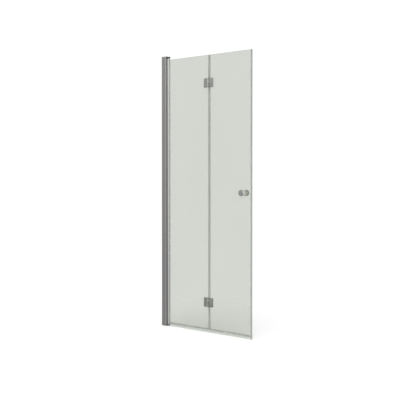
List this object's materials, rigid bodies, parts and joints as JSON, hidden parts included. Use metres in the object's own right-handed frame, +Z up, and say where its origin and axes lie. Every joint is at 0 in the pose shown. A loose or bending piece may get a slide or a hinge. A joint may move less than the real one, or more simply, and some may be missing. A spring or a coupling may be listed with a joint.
{
  "type": "bifold shower door",
  "caption": "Frameless bifold shower door: two glass leaves joined by plate hinges, hung on a pivot stile in an adjustable wall profile, with a knob, bottom seals and a magnetic edge seal.",
  "frame": {"origin": "on the wall plane, in the middle plane of the glass, at the level of the tray", "axes": "+X from the wall to the free edge along the closed door, -Y to the outside, where the viewer stands, +Y into the shower, +Z up"},
  "size_m": [0.8926, 0.068, 2],
  "materials": {
    "satin_profile": "satin anodised extrusion, drawn lengthways",
    "stile_metal": "bright satin anodised extrusion, drawn lengthways",
    "cap_plastic": "silver-grey moulded plastic",
    "black_plastic": "fine-grained black moulded plastic",
    "bearing_plastic": "natural white bearing plastic",
    "screw_steel": "stainless steel",
    "pin_steel": "ground stainless steel",
    "clear_glass": "clear toughened glass with polished edges",
    "hinge_metal": "plated casting",
    "gasket_rubber": "soft dark rubber",
    "clear_vinyl": "translucent soft vinyl",
    "magnet_rubber": "magnetic rubber strip",
    "knob_metal": "plated and turned"
  },
  "bodies": {
    "wall_frame": {"wall_profile": "satin_profile", "adjusting_profile": "satin_profile", "adjusting_screws": "screw_steel", "wall_profile_cap": "cap_plastic", "top_bearing": "black_plastic", "top_bearing_screws": "screw_steel", "bottom_bearing": "black_plastic", "bottom_bearing_screws": "screw_steel", "top_bush": "bearing_plastic", "bottom_bush": "bearing_plastic", "stile_seal": "gasket_rubber"},
    "inner_leaf": {"pivot_stile": "stile_metal", "top_plug": "black_plastic", "bottom_plug": "black_plastic", "top_pin": "pin_steel", "bottom_pin": "pin_steel", "thrust_washer": "pin_steel", "glazing_channel": "clear_vinyl", "inner_glass": "clear_glass", "upper_inner_plate": "hinge_metal", "lower_inner_plate": "hinge_metal", "inner_hinge_gaskets": "gasket_rubber", "inner_hinge_liners": "bearing_plastic", "inner_hinge_discs": "hinge_metal", "inner_hinge_bolts": "screw_steel", "upper_hinge_pin": "pin_steel", "lower_hinge_pin": "pin_steel", "inner_fold_seal": "clear_vinyl", "inner_bottom_seal": "clear_vinyl"},
    "outer_leaf": {"outer_glass": "clear_glass", "upper_outer_plate": "hinge_metal", "lower_outer_plate": "hinge_metal", "outer_hinge_gaskets": "gasket_rubber", "outer_hinge_liners": "bearing_plastic", "outer_hinge_discs": "hinge_metal", "outer_hinge_bolts": "screw_steel", "upper_hinge_bushes": "bearing_plastic", "lower_hinge_bushes": "bearing_plastic", "outer_fold_seal": "clear_vinyl", "outer_bottom_seal": "clear_vinyl", "edge_seal": "clear_vinyl", "magnet_strip": "magnet_rubber", "front_knob": "knob_metal", "back_knob": "knob_metal", "knob_stud": "screw_steel", "knob_sleeve": "bearing_plastic", "knob_washers": "bearing_plastic", "knob_grub_screw": "screw_steel"}
  },
  "joints": [
    {"name": "wall_pivot", "type": "hinge", "parent": "wall_frame", "child": "inner_leaf", "pos_m": [0.057, 0, 0], "axis": [0, 0, 1], "range_deg": [0, 90]},
    {"name": "fold", "type": "hinge", "parent": "inner_leaf", "child": "outer_leaf", "pos_m": [0.4816, -0.013, 0], "axis": [0, 0, -1], "range_deg": [0, 175]}
  ]
}
